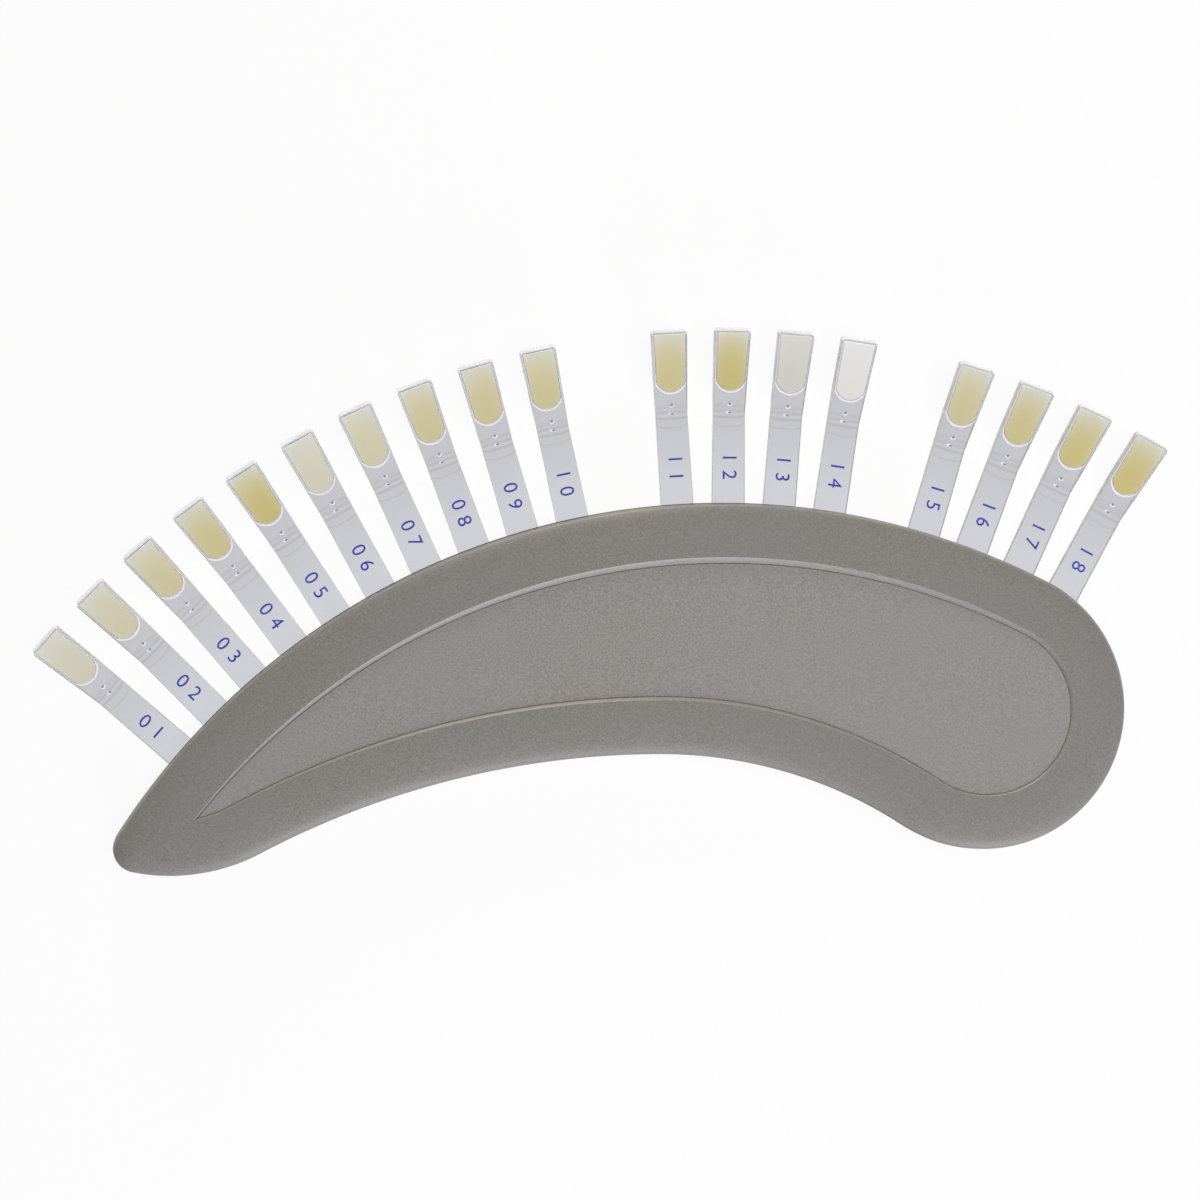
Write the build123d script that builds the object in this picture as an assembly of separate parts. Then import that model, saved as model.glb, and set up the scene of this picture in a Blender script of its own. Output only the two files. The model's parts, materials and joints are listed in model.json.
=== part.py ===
"""Dental shade guide: a comma-shaped handle of two moulded shells, with a fan of clear sticks.

Millimetres. X runs to the right and Y up the face, as the guide is usually seen, and Z out of the face.
The guide lies on its flat back at Z = 0. The origin is on that back, on the centre line of the fan.
The upper rim of the handle is one circle about the fan centre, and every stick lies on a radius of it.
Angles are in degrees, clockwise from straight up the face.
"""

import os
from math import atan2, cos, degrees, radians, sin, sqrt

from build123d import *

# Fan and upper rim
RIM_RADIUS = 129.1
ORIGIN_RADIUS = 106.0
STICK_PITCH_ANGLE = 4.1
GROUP_START_ANGLES = [-49.1, -3.7, 16.4]
GROUP_COUNTS = [10, 4, 4]

# Outline of the handle, as arcs that meet tangent to one another
NOSE_RADIUS = 25.5
NOSE_ANGLE = 27.0
PALM_RADIUS = 82.0
PALM_START_ANGLE = 213.0
PALM_END_ANGLE = 180.0
TAIL_RADIUS = 33.4
TAIL_TIP_ANGLE = 191.7
TIP_RADIUS = 4.3
TIP_ANGLE = -57.28

# Heights and walls of the shells
PARTING_HEIGHT = 5.0
EDGE_RISE = 2.2
CROWN_RISE = 2.8
WALL = 1.8
PARTING_LEDGE = 0.25
BACK_EDGE_CHAMFER = 1.0

# Crowned border of the front: a superellipse from the rim up to the crest, in sloping bands
CROWN_WIDTH = 9.4
CROWN_POWER = 2.2
CROWN_SHARES = [0.032, 0.128, 0.277, 0.723]
ROUND_TIP_MARGIN = 0.05

# Recessed panel in the front, whose floor leans towards the rim
PANEL_MARGIN = 0.3
PANEL_DEPTH = 0.75
PANEL_TILT_ANGLE = 1.0
PANEL_FUNNEL_DEPTH = 1.6

# Clear sticks
STEM_WIDTH = 5.9
NECK_WIDTH = 5.7
HEAD_WIDTH = 6.5
STEM_THICKNESS = 1.6
HEAD_THICKNESS = 2.5
TAIL_LENGTH = 13.0
BEND_DISTANCE = 16.2
HEAD_TILT_ANGLE = 20.0
SHOULDER_LENGTH = 3.2
SHOULDER_RUN = 1.0
BEND_FILLET = 1.2
HEAD_CORNER_CHAMFER = 0.4
TAIL_CORNER_CHAMFER = 0.8

# Composite samples
SAMPLE_LENGTH = 10.6
SAMPLE_SIDE_WALL = 0.4
SAMPLE_TAPER = 0.5
SAMPLE_ROUNDING = 1.95
SAMPLE_TIP_DEPTH = 0.8
SAMPLE_FLOOR_WALL = 0.6
SAMPLE_TIP_WALL = 0.35
SAMPLE_SETBACK = 4.42
SAMPLE_GAP = 0.02
SAMPLE_RECESS = 0.05

# Sockets of the sticks
SOCKET_CLEARANCE = 0.06
TAIL_END_CLEARANCE = 0.05
GUIDE_WALL_DEPTH = 9.5
RIB_THICKNESS = 1.5
RIB_END_ANGLE = 2.6

# Locating pins and their sockets, by their distance from the rim and their angle about the fan centre
PIN_INSETS = [23.1, 30.1, 25.6]
PIN_ANGLES = [-34.0, -4.0, 27.0]
PIN_RADIUS = 1.5
PIN_BOSS_WALL = 1.25
PIN_LENGTH = 2.4
PIN_CLEARANCE = 0.05

CUT_MARGIN = 2.0
MATCH_TOLERANCE = 0.001


def direction(angle):
    """Unit vector at an angle clockwise from straight up the face."""
    return Vector(sin(radians(angle)), cos(radians(angle)), 0)


def angle_of(vector):
    """Angle of a vector, clockwise from straight up the face."""
    return degrees(atan2(vector.X, vector.Y))


FAN_CENTRE = Vector(0, -ORIGIN_RADIUS, 0)
STICK_ANGLES = [
    start + STICK_PITCH_ANGLE * place
    for start, count in zip(GROUP_START_ANGLES, GROUP_COUNTS)
    for place in range(count)
]
EDGE_HEIGHT = PARTING_HEIGHT + EDGE_RISE
CREST_HEIGHT = EDGE_HEIGHT + CROWN_RISE
CEILING_HEIGHT = CREST_HEIGHT - PANEL_DEPTH - WALL
PANEL_INSET = CROWN_WIDTH + PANEL_MARGIN


def circles_meet(centre_a, radius_a, centre_b, radius_b):
    """The left one of the two points where two circles cross."""
    across = centre_b - centre_a
    distance = across.length
    along = (radius_a**2 - radius_b**2 + distance**2) / (2 * distance)
    aside = sqrt(radius_a**2 - along**2)
    unit = across.normalized()
    left = Vector(-unit.Y, unit.X, 0)
    points = [centre_a + unit * along + left * aside, centre_a + unit * along - left * aside]
    return min(points, key=lambda point: point.X)


def back_bend_radius():
    """Radius of the arc that runs on from the palm's arc and meets the tail's arc tangent."""
    palm_end = PALM_CENTRE - direction(PALM_END_ANGLE) * PALM_RADIUS
    reach = TAIL_CENTRE - palm_end
    along = reach.dot(direction(PALM_END_ANGLE))
    return (reach.length**2 - TAIL_RADIUS**2) / (2 * (along + TAIL_RADIUS))


# Centres of the outline's arcs: from the nose to the palm, from the tip to the tail, and the bend between
NOSE_CENTRE = FAN_CENTRE + direction(NOSE_ANGLE) * (RIM_RADIUS - NOSE_RADIUS)
PALM_CENTRE = NOSE_CENTRE + direction(PALM_START_ANGLE) * (NOSE_RADIUS + PALM_RADIUS)
TIP_CENTRE = FAN_CENTRE + direction(TIP_ANGLE) * (RIM_RADIUS - TIP_RADIUS)
TAIL_CENTRE = TIP_CENTRE - direction(TAIL_TIP_ANGLE) * (TAIL_RADIUS - TIP_RADIUS)
BACK_BEND_RADIUS = back_bend_radius()
BACK_BEND_CENTRE = PALM_CENTRE + direction(PALM_END_ANGLE) * (BACK_BEND_RADIUS - PALM_RADIUS)
BACK_BEND_END_ANGLE = angle_of(BACK_BEND_CENTRE - TAIL_CENTRE) % 360


def arc(centre, radius, start_angle, end_angle):
    """Arc about a centre from one angle to another."""
    middle = (start_angle + end_angle) / 2
    points = [centre + direction(a) * radius for a in (start_angle, middle, end_angle)]
    return ThreePointArc(*points)


def leaf_face(inset, pointed=False):
    """The handle's outline, or a smaller one inside it, as a face at Z = 0, with a round or pointed tip."""
    rim_end_angle = TIP_ANGLE
    tail_end_angle = TAIL_TIP_ANGLE
    if pointed:
        corner = circles_meet(FAN_CENTRE, RIM_RADIUS - inset, TAIL_CENTRE, TAIL_RADIUS - inset)
        rim_end_angle = angle_of(corner - FAN_CENTRE)
        tail_end_angle = angle_of(corner - TAIL_CENTRE) % 360
    edges = [
        arc(FAN_CENTRE, RIM_RADIUS - inset, rim_end_angle, NOSE_ANGLE),
        arc(NOSE_CENTRE, NOSE_RADIUS - inset, NOSE_ANGLE, PALM_START_ANGLE),
        arc(PALM_CENTRE, PALM_RADIUS + inset, PALM_START_ANGLE - 180, PALM_END_ANGLE - 180),
        arc(BACK_BEND_CENTRE, BACK_BEND_RADIUS + inset, PALM_END_ANGLE - 180, BACK_BEND_END_ANGLE - 180),
        arc(TAIL_CENTRE, TAIL_RADIUS - inset, BACK_BEND_END_ANGLE, tail_end_angle),
    ]
    if not pointed:
        edges.append(arc(TIP_CENTRE, TIP_RADIUS - inset, tail_end_angle, rim_end_angle + 360))
    return make_face(edges)


def prism(face, low, high):
    """A face at Z = 0 stretched between two heights."""
    return Pos(0, 0, low) * extrude(face, high - low)


def crown_height(inset):
    """Height of the crowned border at an inset from the rim."""
    share = 1 - inset / CROWN_WIDTH
    return EDGE_HEIGHT + CROWN_RISE * (1 - share**CROWN_POWER) ** (1 / CROWN_POWER)


def crowned_block():
    """The front shell as if solid: upright sides and a crowned border around a flat top."""
    block = prism(leaf_face(0), PARTING_HEIGHT, EDGE_HEIGHT)
    round_limit = TIP_RADIUS - ROUND_TIP_MARGIN
    insets = sorted([0, *[share * CROWN_WIDTH for share in CROWN_SHARES], round_limit, CROWN_WIDTH])
    for outer, inner in zip(insets, insets[1:]):
        pointed = outer >= round_limit
        low = Pos(0, 0, crown_height(outer)) * leaf_face(outer, pointed)
        high = Pos(0, 0, crown_height(inner)) * leaf_face(inner, pointed)
        block += loft([low, high], ruled=True)
    return block


def panel_recess():
    """The space over the panel's leaning floor, with walls that slope in at 45 degrees."""
    mouth = Pos(0, 0, CREST_HEIGHT + CUT_MARGIN) * leaf_face(PANEL_INSET - CUT_MARGIN, pointed=True)
    foot_face = leaf_face(PANEL_INSET + PANEL_FUNNEL_DEPTH, pointed=True)
    foot = Pos(0, 0, CREST_HEIGHT - PANEL_FUNNEL_DEPTH) * foot_face
    floor = Pos(0, 0, CREST_HEIGHT - PANEL_DEPTH) * Rot(-PANEL_TILT_ANGLE, 0, 0)
    under = floor * Pos(0, 0, -CREST_HEIGHT) * Box(4 * RIM_RADIUS, 4 * RIM_RADIUS, 2 * CREST_HEIGHT)
    return loft([mouth, foot], ruled=True) - under


def ring_wall(outer_radius, low, high):
    """A rib that follows the rim behind the sticks."""
    start = STICK_ANGLES[0] - RIB_END_ANGLE
    end = STICK_ANGLES[-1] + RIB_END_ANGLE
    outer = arc(FAN_CENTRE, outer_radius, start, end)
    inner = arc(FAN_CENTRE, outer_radius - RIB_THICKNESS, end, start)
    face = make_face([outer, Line(outer @ 1, inner @ 0), inner, Line(inner @ 1, outer @ 0)])
    return prism(face, low, high)


def on_stick(angle):
    """Place of a stick: its Y runs out along the radius, from the rim."""
    point = FAN_CENTRE + direction(angle) * RIM_RADIUS
    return Location((point.X, point.Y, 0), (0, 0, -angle))


def sockets():
    """The slots of all sticks, centred on the parting plane."""
    depth = TAIL_LENGTH + TAIL_END_CLEARANCE
    width = STEM_WIDTH + 2 * SOCKET_CLEARANCE
    height = STEM_THICKNESS + 2 * SOCKET_CLEARANCE
    slot = Pos(0, (CUT_MARGIN - depth) / 2, PARTING_HEIGHT) * Box(width, depth + CUT_MARGIN, height)
    return [on_stick(angle) * slot for angle in STICK_ANGLES]


def pin_cylinders(radius, low, high):
    """One upright cylinder at each pin's place."""
    pins = []
    for inset, angle in zip(PIN_INSETS, PIN_ANGLES):
        point = FAN_CENTRE + direction(angle) * (RIM_RADIUS - inset)
        centre = (point.X, point.Y, (low + high) / 2)
        pins.append(Pos(*centre) * Cylinder(radius, high - low))
    return pins


def front_shell():
    """Crowned front with its recessed panel, hollow behind."""
    shell = crowned_block() - panel_recess() - prism(leaf_face(WALL), 0, CEILING_HEIGHT)
    for pin in pin_cylinders(PIN_RADIUS, PARTING_HEIGHT - PIN_LENGTH, CEILING_HEIGHT):
        shell += pin
    for slot in sockets():
        shell -= slot
    return shell


def back_shell():
    """Flat-backed tray that closes the handle and stops the sticks' tails."""
    shell = prism(leaf_face(-PARTING_LEDGE), 0, PARTING_HEIGHT)
    shell = chamfer(shell.faces().sort_by(Axis.Z)[0].edges(), BACK_EDGE_CHAMFER)
    shell -= prism(leaf_face(WALL), WALL, PARTING_HEIGHT + CUT_MARGIN)
    rib_top = PARTING_HEIGHT + STEM_THICKNESS / 2
    for rib_radius in (RIM_RADIUS - GUIDE_WALL_DEPTH, RIM_RADIUS - TAIL_LENGTH - TAIL_END_CLEARANCE):
        shell += ring_wall(rib_radius, WALL, rib_top)
    hole_radius = PIN_RADIUS + PIN_CLEARANCE
    for boss in pin_cylinders(hole_radius + PIN_BOSS_WALL, WALL, PARTING_HEIGHT):
        shell += boss
    hole_floor = PARTING_HEIGHT - PIN_LENGTH - PIN_CLEARANCE
    for hole in pin_cylinders(hole_radius, hole_floor, PARTING_HEIGHT + CUT_MARGIN):
        shell -= hole
    for slot in sockets():
        shell -= slot
    return shell


HEAD_RISE = sin(radians(HEAD_TILT_ANGLE))
HEAD_RUN = cos(radians(HEAD_TILT_ANGLE))
HEAD_LENGTH = SAMPLE_SETBACK + SAMPLE_LENGTH + SAMPLE_TIP_WALL
VISIBLE_LENGTH = BEND_DISTANCE + HEAD_LENGTH * HEAD_RUN + HEAD_THICKNESS * HEAD_RISE
SAMPLE_TIP_WIDTH = HEAD_WIDTH - 2 * SAMPLE_SIDE_WALL
SAMPLE_ROOT_WIDTH = SAMPLE_TIP_WIDTH - SAMPLE_TAPER
SAMPLE_ROOT_DEPTH = HEAD_THICKNESS - SAMPLE_FLOOR_WALL
HEAD_PLANE = Plane(
    origin=(0, BEND_DISTANCE, PARTING_HEIGHT + STEM_THICKNESS / 2),
    x_dir=(1, 0, 0),
    z_dir=(0, -HEAD_RISE, HEAD_RUN),
)


def side_profile():
    """The stick's thickness from its side, as a face in the YZ plane."""
    low = PARTING_HEIGHT - STEM_THICKNESS / 2
    high = PARTING_HEIGHT + STEM_THICKNESS / 2
    bend = HEAD_PLANE.from_local_coords(Vector(0, 0, 0))
    tip_front = HEAD_PLANE.from_local_coords(Vector(0, HEAD_LENGTH, 0))
    tip_back = HEAD_PLANE.from_local_coords(Vector(0, HEAD_LENGTH, -HEAD_THICKNESS))
    shoulder = HEAD_PLANE.from_local_coords(Vector(0, SHOULDER_LENGTH, -HEAD_THICKNESS))
    heel = Vector(0, BEND_DISTANCE + SHOULDER_RUN, low)
    corners = [(0, -TAIL_LENGTH, low), (0, -TAIL_LENGTH, high), bend, tip_front, tip_back, shoulder, heel]
    face = make_face(Polyline(*corners, close=True))
    rounded = []
    for vertex in face.vertices():
        if min((Vector(vertex) - bend).length, (Vector(vertex) - heel).length) < MATCH_TOLERANCE:
            rounded.append(vertex)
    return fillet(rounded, BEND_FILLET)


def plan_outline():
    """The stick from its front, as a face at Z = 0."""
    half = [
        (STEM_WIDTH / 2 - TAIL_CORNER_CHAMFER, -TAIL_LENGTH),
        (STEM_WIDTH / 2, TAIL_CORNER_CHAMFER - TAIL_LENGTH),
        (STEM_WIDTH / 2, 0),
        (NECK_WIDTH / 2, BEND_DISTANCE),
        (HEAD_WIDTH / 2, VISIBLE_LENGTH),
    ]
    mirrored = [(-x, y) for x, y in reversed(half)]
    face = make_face(Polyline(*half, *mirrored, close=True))
    corners = face.vertices().sort_by(Axis.Y)[-2:]
    return chamfer(corners, HEAD_CORNER_CHAMFER)


def sample_block(gap, recess):
    """The composite wedge in a head's pocket, smaller all round by a gap and lower by a recess."""
    tip = HEAD_LENGTH - SAMPLE_TIP_WALL - gap
    root = HEAD_LENGTH - SAMPLE_TIP_WALL - SAMPLE_LENGTH + gap
    tip_half = SAMPLE_TIP_WIDTH / 2 - gap
    root_half = SAMPLE_ROOT_WIDTH / 2 - gap
    outline = make_face(
        [
            Polyline(
                (-root_half, root + SAMPLE_ROUNDING), (-tip_half, tip), (tip_half, tip),
                (root_half, root + SAMPLE_ROUNDING),
            ),
            ThreePointArc(
                (root_half, root + SAMPLE_ROUNDING), (0, root), (-root_half, root + SAMPLE_ROUNDING)
            ),
        ]
    )
    depth = max(SAMPLE_TIP_DEPTH, SAMPLE_ROOT_DEPTH) + CUT_MARGIN
    column = Pos(0, 0, -depth) * extrude(outline, depth - recess)
    wedge = make_face(
        Polyline(
            (0, tip + gap, CUT_MARGIN), (0, tip + gap, gap - SAMPLE_TIP_DEPTH),
            (0, root - gap, gap - SAMPLE_ROOT_DEPTH), (0, root - gap, CUT_MARGIN), close=True,
        )
    )
    slab = extrude(wedge, HEAD_WIDTH, both=True, dir=(1, 0, 0))
    return HEAD_PLANE.location * (column & slab)


def clear_stick():
    """One stick along Y, its rim line at Y = 0, with the pocket for its sample."""
    stick = extrude(side_profile(), HEAD_WIDTH, both=True, dir=(1, 0, 0))
    stick &= prism(plan_outline(), 0, 2 * CREST_HEIGHT)
    return stick - sample_block(0, -CUT_MARGIN)


def main():
    """Write one file for each piece."""
    os.makedirs("parts", exist_ok=True)
    export_step(front_shell(), "parts/front_shell.step")
    export_step(back_shell(), "parts/back_shell.step")
    stick = clear_stick()
    sample = sample_block(SAMPLE_GAP, SAMPLE_RECESS)
    for number, angle in enumerate(STICK_ANGLES, start=1):
        place = on_stick(angle)
        export_step(place * stick, f"parts/stick_{number:02d}.step")
        export_step(place * sample, f"parts/sample_{number:02d}.step")


main()
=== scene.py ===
"""Dental shade guide: the looks of the grey handle, the clear sticks, their samples and their numbers.

Metres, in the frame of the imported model: X to the right and Y up the face, as the guide is usually seen,
and Z out of the face. The guide lies on its flat back at Z = 0. Angles are in degrees, clockwise from
straight up the face, about the centre of the fan of sticks.
"""

import json
import logging
from contextlib import contextmanager
from dataclasses import dataclass, field, replace
from enum import Enum
from math import atan2, cos, degrees, inf, pi, radians, sin, sqrt, tan
from typing import Callable, Iterator

import bmesh
import bpy
from mathutils import Matrix, Vector


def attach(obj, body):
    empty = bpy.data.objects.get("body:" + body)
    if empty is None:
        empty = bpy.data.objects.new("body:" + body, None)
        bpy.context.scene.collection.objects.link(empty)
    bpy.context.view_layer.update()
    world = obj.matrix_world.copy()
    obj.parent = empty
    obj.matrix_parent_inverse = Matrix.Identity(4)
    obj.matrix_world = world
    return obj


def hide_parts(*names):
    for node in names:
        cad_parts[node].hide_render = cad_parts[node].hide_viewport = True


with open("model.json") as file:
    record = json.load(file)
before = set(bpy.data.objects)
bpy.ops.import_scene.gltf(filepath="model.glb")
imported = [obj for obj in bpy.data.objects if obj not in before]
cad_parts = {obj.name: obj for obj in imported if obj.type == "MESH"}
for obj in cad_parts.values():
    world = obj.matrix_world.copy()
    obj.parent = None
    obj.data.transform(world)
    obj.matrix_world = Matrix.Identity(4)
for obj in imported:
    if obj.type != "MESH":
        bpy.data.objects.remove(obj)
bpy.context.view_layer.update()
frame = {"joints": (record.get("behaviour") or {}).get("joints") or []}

log = logging.getLogger("shade_guide")

MM = 0.001
MERGE_DISTANCE = 0.0005 * MM
EDGE_TOLERANCE = 0.05 * MM
STATION_LAYER = "station"
TAB_MAP = "tab_place"
CLEAR_INDEX = 1.49

RingProfile = Callable[[Vector], tuple[float, float]] | tuple[float, float]


class Slot(Enum):
    """Material slots of the record."""

    GREY = "grey_moulding"
    CLEAR = "clear_moulding"
    COMPOSITE = "composite_{number:02d}"


class Cut(Enum):
    """Ways to combine one solid with another."""

    UNION = "UNION"
    DIFFERENCE = "DIFFERENCE"


class Mix(Enum):
    """Kinds of mix node, each with its Blender name and the places of its inputs and its output."""

    NUMBER = ("FLOAT", 2, 3, 0)
    COLOUR = ("RGBA", 6, 7, 2)


class Surface(Enum):
    """Places of the materials on a stick: the clear body, a painted highlight on the head's end, the
    pocket's lip and the marks' rims, painted shade in the marks' hollows, and painted shade on the sides.
    """

    BODY = 0
    EDGE = 1
    MARK = 2
    SIDE = 3


class ShellSurface(Enum):
    """Places of the materials on a shell: the border, the panel's floor, and a smoother grey painted
    lighter as a highlight on the rim beside the sticks and on the panel's walls.
    """

    BORDER = 0
    PANEL = 1
    EDGE = 2


# Small tools for modelling


def activate(piece: bpy.types.Object) -> None:
    """Selects one object alone and makes it active.

    Args:
        piece: the object.
    """
    bpy.ops.object.select_all(action="DESELECT")
    piece.select_set(True)
    bpy.context.view_layer.objects.active = piece


def add_new(operator: Callable, name: str, **settings: object) -> bpy.types.Object:
    """Adds an object by one of Blender's operators, with nothing else selected.

    Args:
        operator: the operator, such as one that adds a primitive.
        name: the name of the new object.
        settings: settings of the operator.

    Returns:
        The new object, selected alone.
    """
    bpy.ops.object.select_all(action="DESELECT")
    operator(**settings)
    piece = bpy.context.object
    piece.name = name
    piece.data.name = name
    return piece


@contextmanager
def editing(piece: bpy.types.Object, mode: str = "VERT") -> Iterator[None]:
    """Edit mode on one object, with nothing selected at first.

    Args:
        piece: the object.
        mode: what is to be selected, VERT or EDGE.
    """
    activate(piece)
    bpy.ops.object.mode_set(mode="EDIT")
    bpy.ops.mesh.select_mode(type=mode)
    bpy.ops.mesh.select_all(action="DESELECT")
    yield
    bpy.ops.object.mode_set(mode="OBJECT")


def select_edges(piece: bpy.types.Object, wanted: Callable[[bmesh.types.BMEdge], bool]) -> None:
    """Selects only the edges that a test picks, in edit mode.

    Args:
        piece: the object in edit mode.
        wanted: the test of one edge.
    """
    bpy.ops.mesh.select_all(action="DESELECT")
    shape = bmesh.from_edit_mesh(piece.data)
    for edge in shape.edges:
        if wanted(edge):
            edge.select_set(True)
    bmesh.update_edit_mesh(piece.data)


def place_stations(piece: bpy.types.Object, points: list[Vector]) -> None:
    """Puts the selected vertices on the points of their stations, in edit mode.

    Args:
        piece: the object in edit mode.
        points: one point for each station.
    """
    shape = bmesh.from_edit_mesh(piece.data)
    layer = shape.verts.layers.int[STATION_LAYER]
    for vertex in shape.verts:
        if vertex.select:
            vertex.co = points[vertex[layer]]
    bmesh.update_edit_mesh(piece.data)


def give_band(piece: bpy.types.Object, surface: Enum) -> None:
    """Gives one of its materials to the faces round the selected cap of a piece, in edit mode."""
    shape = bmesh.from_edit_mesh(piece.data)
    for edge in shape.edges:
        if edge.select:
            for face in edge.link_faces:
                face.material_index = surface.value
    bmesh.update_edit_mesh(piece.data)


def loft_rings(
    name: str, rings: list[list[Vector]], surfaces: list[Enum] | None = None
) -> bpy.types.Object:
    """A closed solid whose skin runs through rings of points, with a flat cap on the first and last.

    Args:
        name: the name of the new object.
        rings: rings with the same number of points each.
        surfaces: the material of the band that ends at each ring, if there is more than one.

    Returns:
        The new object.
    """
    count = len(rings[0])
    piece = add_new(bpy.ops.mesh.primitive_circle_add, name, vertices=count, radius=1, fill_type="NGON")
    stations = piece.data.attributes.new(STATION_LAYER, "INT", "POINT")
    stations.data.foreach_set("value", range(count))
    with editing(piece):
        bpy.ops.mesh.select_all(action="SELECT")
        place_stations(piece, rings[0])
        for place, ring in enumerate(rings[1:], start=1):
            bpy.ops.mesh.extrude_region_move()
            place_stations(piece, ring)
            if surfaces:
                give_band(piece, surfaces[place])
        bpy.ops.mesh.select_all(action="SELECT")
        bpy.ops.mesh.remove_doubles(threshold=MERGE_DISTANCE)
        bpy.ops.mesh.normals_make_consistent(inside=False)
    piece.data.attributes.remove(piece.data.attributes[STATION_LAYER])
    return piece


def combine(target: bpy.types.Object, tool: bpy.types.Object, cut: Cut) -> None:
    """Adds a solid to another, or cuts it out, and removes the tool.

    Args:
        target: the solid that is changed.
        tool: the other solid.
        cut: how they are combined.
    """
    activate(target)
    modifier = target.modifiers.new("combine", "BOOLEAN")
    modifier.operation = cut.value
    modifier.object = tool
    modifier.solver = "EXACT"
    bpy.ops.object.modifier_apply(modifier=modifier.name)
    bpy.data.objects.remove(tool)


def join(pieces: list[bpy.types.Object]) -> bpy.types.Object:
    """Joins several objects into the first one and returns it."""
    activate(pieces[0])
    for piece in pieces[1:]:
        piece.select_set(True)
    bpy.ops.object.join()
    return pieces[0]


def round_edges(piece: bpy.types.Object, width: float, segments: int, angle: float) -> None:
    """Rounds every edge that is sharper than an angle.

    Args:
        piece: the object.
        width: width of the rounding.
        segments: steps of the rounding.
        angle: least angle between the faces, in degrees.
    """
    activate(piece)
    modifier = piece.modifiers.new("rounding", "BEVEL")
    modifier.width = width
    modifier.segments = segments
    modifier.limit_method = "ANGLE"
    modifier.angle_limit = radians(angle)
    bpy.ops.object.modifier_apply(modifier=modifier.name)


def smooth(piece: bpy.types.Object, angle: float) -> None:
    """Shades a piece smooth, apart from edges sharper than an angle in degrees."""
    activate(piece)
    bpy.ops.object.shade_smooth_by_angle(angle=radians(angle))


def weigh_normals(piece: bpy.types.Object) -> None:
    """Keeps large faces flat in shading, so that only the narrow roundings between them bend the light."""
    activate(piece)
    modifier = piece.modifiers.new("flat faces", "WEIGHTED_NORMAL")
    modifier.weight = 100
    modifier.keep_sharp = True
    bpy.ops.object.modifier_apply(modifier=modifier.name)


def dress(piece: bpy.types.Object, *materials: bpy.types.Material) -> None:
    """Gives a piece its materials, in the order of its surfaces."""
    for material in materials:
        piece.data.materials.append(material)


def surface_where(
    piece: bpy.types.Object, surface: Enum, wanted: Callable[[bpy.types.MeshPolygon], bool]
) -> None:
    """Gives one of its materials to the faces of a piece that a test picks.

    Args:
        piece: the object.
        surface: which of its materials.
        wanted: the test of one polygon.
    """
    for polygon in piece.data.polygons:
        if wanted(polygon):
            polygon.material_index = surface.value


def hand_over(piece: bpy.types.Object, body: str, node: str = "") -> None:
    """Puts a finished piece on its body and reports it.

    Args:
        piece: the piece.
        body: the body that it rides on.
        node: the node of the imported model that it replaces, if any.
    """
    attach(piece, body)
    if node:
        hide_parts(node)
    log.info("%s rides on %s, %d faces", piece.name, body, len(piece.data.polygons))


def direction(angle: float) -> Vector:
    """Unit vector at an angle clockwise from straight up the face."""
    return Vector((sin(radians(angle)), cos(radians(angle)), 0))


def angle_of(vector: Vector) -> float:
    """Angle of a vector, clockwise from straight up the face."""
    return degrees(atan2(vector.x, vector.y))


def srgb(red: float, green: float, blue: float) -> tuple[float, float, float, float]:
    """Linear colour of an sRGB colour given from 0 to 255."""
    linear = []
    for channel in (red, green, blue):
        share = channel / 255
        linear.append(share / 12.92 if share <= 0.04045 else ((share + 0.055) / 1.055) ** 2.4)
    return (*linear, 1.0)


# Layout that the shells, the sticks and the outline share


@dataclass(frozen=True)
class Fan:
    """The fan of sticks about one centre, with the sizes that the shells and the sticks share."""

    centre: Vector = field(default_factory=lambda: Vector((0, -106.0 * MM, 0)))
    rim_radius: float = 129.1 * MM
    parting_height: float = 5.0 * MM
    stem_width: float = 5.9 * MM
    stem_thickness: float = 1.6 * MM
    tail_length: float = 13.0 * MM

    @property
    def stem_top(self) -> float:
        """Height of the stems' fronts. The parting line runs along the middle of the stems."""
        return self.parting_height + self.stem_thickness / 2

    def place(self, angle: float) -> Matrix:
        """Place of a stick, whose own Y runs out along the radius from the rim.

        Args:
            angle: angle of the stick.

        Returns:
            The matrix from the stick's own frame to the guide's frame.
        """
        point = self.centre + direction(angle) * self.rim_radius
        return Matrix.Translation(point) @ Matrix.Rotation(-radians(angle), 4, "Z")


@dataclass(frozen=True)
class Arc:
    """One arc of the outline. On an outline inside it, its radius changes by shrink times the inset."""

    centre: Vector
    radius: float
    shrink: int
    start: float
    end: float
    steps: int


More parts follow.
